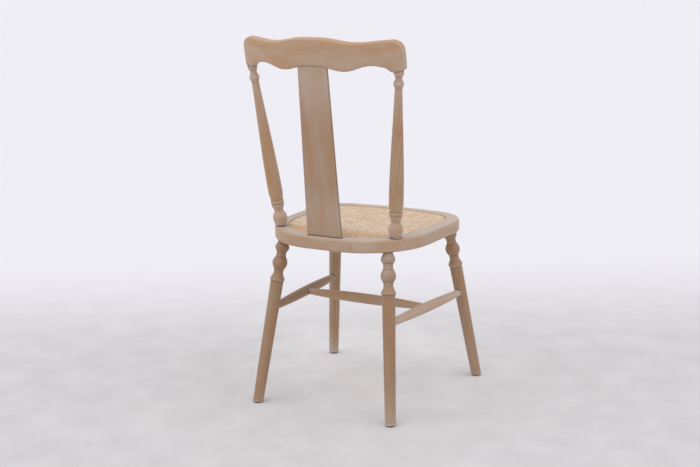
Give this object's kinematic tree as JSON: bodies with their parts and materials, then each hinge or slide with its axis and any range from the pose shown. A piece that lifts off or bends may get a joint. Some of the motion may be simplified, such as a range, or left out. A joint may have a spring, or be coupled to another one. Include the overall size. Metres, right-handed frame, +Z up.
{
  "type": "side chair",
  "caption": "Open-back side chair with turned splayed legs and posts, a flat splat, a bowed and waved crest rail and a woven cane seat.",
  "frame": {"origin": "middle of the chair's box on the floor", "axes": "+Z up, the sitter faces -Y, +X is the sitter's left"},
  "size_m": [0.4832, 0.4952, 0.9607],
  "materials": {
    "wood": "limed and weathered hardwood, matt",
    "cane": "woven split cane, natural, satin",
    "reed": "round reed, matt",
    "glide": "moulded dark plastic, matt",
    "nail": "plain steel",
    "dowel": "plain beech, fluted"
  },
  "bodies": {
    "root": {"crest_rail": "wood", "splat": "wood", "back_post_left": "wood", "back_post_right": "wood", "seat_rail_front": "wood", "seat_rail_left": "wood", "seat_rail_right": "wood", "seat_corner_left": "wood", "seat_corner_right": "wood", "seat_rail_back": "wood", "frame_dowels": "dowel", "cane_panel": "cane", "cane_spline": "reed", "leg_front_left": "wood", "leg_front_right": "wood", "leg_back_left": "wood", "leg_back_right": "wood", "side_stretcher_left": "wood", "side_stretcher_right": "wood", "cross_stretcher": "wood", "foot_glide_front_left": "glide", "foot_glide_front_right": "glide", "foot_glide_back_left": "glide", "foot_glide_back_right": "glide", "glide_nails": "nail"}
  },
  "joints": []
}
